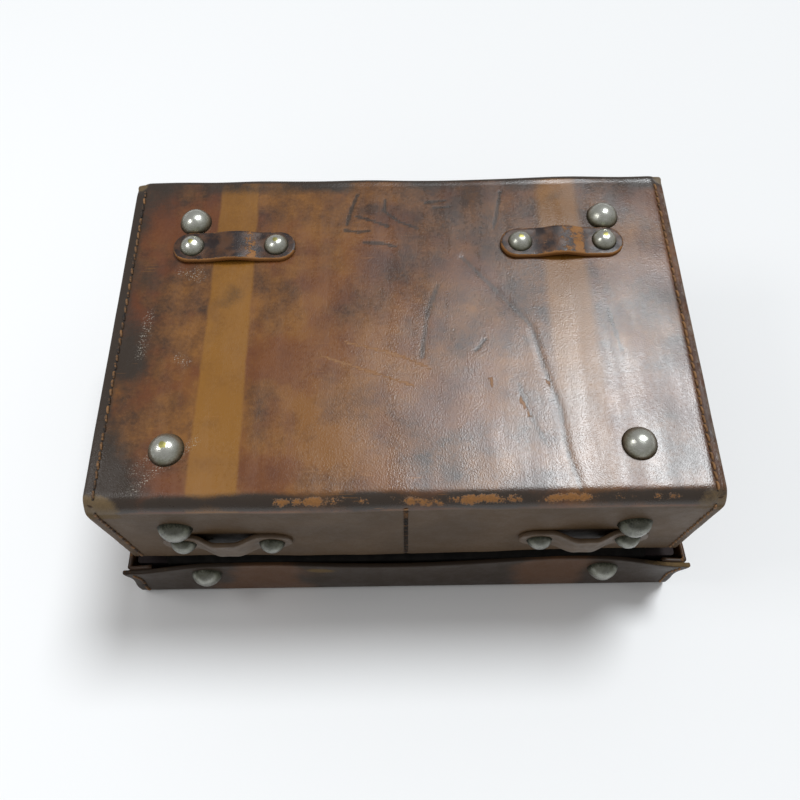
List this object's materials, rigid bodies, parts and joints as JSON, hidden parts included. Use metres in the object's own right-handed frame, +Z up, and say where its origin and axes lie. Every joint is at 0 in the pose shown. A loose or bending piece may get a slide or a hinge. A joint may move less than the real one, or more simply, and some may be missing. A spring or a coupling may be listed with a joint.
{
  "type": "leather instrument case",
  "caption": "Antique leather carrying case for an optician's instrument, shown closed and upside down on its lid, with domed foot studs, riveted strap keepers and saddle-stitched ends.",
  "frame": {"origin": "centre of the lid's outer face, which rests on the floor as the case lies upside down", "axes": "+Z up from the lid to the case's base; +X along the case; -Y towards the hinged back with its studs and keepers, +Y towards the front with the handle and lock"},
  "size_m": [0.3944, 0.2822, 0.1787],
  "materials": {
    "hide": "waxed chestnut hide, worn and polished",
    "end_hide": "darker chestnut hide",
    "keeper_leather": "dark strap leather, worn through at the bend",
    "handle_leather": "dark, polished by the hand",
    "hinge_leather": "black, matt",
    "millboard": "plain",
    "lining": "covered in dark cloth",
    "nickel": "nickel plate, dull and tarnished",
    "brass": "aged",
    "thread": "waxed linen"
  },
  "bodies": {
    "lid": {"lid_hide": "hide", "lid_end_left": "end_hide", "lid_end_right": "end_hide", "lid_board": "millboard", "lid_front_board": "millboard", "lid_lining": "lining", "hinge_leather_lid": "hinge_leather", "lid_foot_studs": "nickel", "lid_burrs": "brass", "lid_stitching_left": "thread", "lid_stitching_right": "thread", "hasp_plate": "brass", "hasp_pin": "brass"},
    "case_body": {"body_hide": "hide", "body_end_left": "end_hide", "body_end_right": "end_hide", "base_board": "millboard", "front_board": "millboard", "body_lining": "lining", "hinge_leather_body": "hinge_leather", "keeper_base_left": "keeper_leather", "keeper_base_right": "keeper_leather", "keeper_back_left": "keeper_leather", "keeper_back_right": "keeper_leather", "keeper_rivets_base": "nickel", "keeper_rivets_back": "nickel", "foot_studs_base": "nickel", "foot_studs_back": "nickel", "body_burrs": "brass", "body_stitching_left": "thread", "body_stitching_right": "thread", "back_seam_stitching": "thread", "lock_case": "brass", "lock_pins": "brass", "handle_bracket_left": "brass", "handle_bracket_right": "brass", "handle_bracket_rivets": "brass"},
    "hasp": {"hasp_flap": "brass", "hasp_staple": "brass"},
    "lock_slide": {"lock_button": "brass"},
    "handle": {"handle_grip": "handle_leather", "handle_loop_left": "brass", "handle_loop_right": "brass"}
  },
  "joints": [
    {"name": "body_hinge", "type": "hinge", "parent": "lid", "child": "case_body", "pos_m": [0, -0.1235, 0.064], "axis": [1, 0, 0], "range_deg": [0, 110]},
    {"name": "handle_swing", "type": "hinge", "parent": "case_body", "child": "handle", "pos_m": [0, 0.134, 0.138], "axis": [1, 0, 0], "range_deg": [0, 170]},
    {"name": "hasp_swing", "type": "hinge", "parent": "lid", "child": "hasp", "pos_m": [0, 0.1342, 0.058], "axis": [1, 0, 0], "range_deg": [0, 180]},
    {"name": "button_slide", "type": "slide", "parent": "case_body", "child": "lock_slide", "axis": [1, 0, 0], "range_m": [0, 0.004], "stiffness_N_per_m": 150, "springref_m": -0.002}
  ]
}
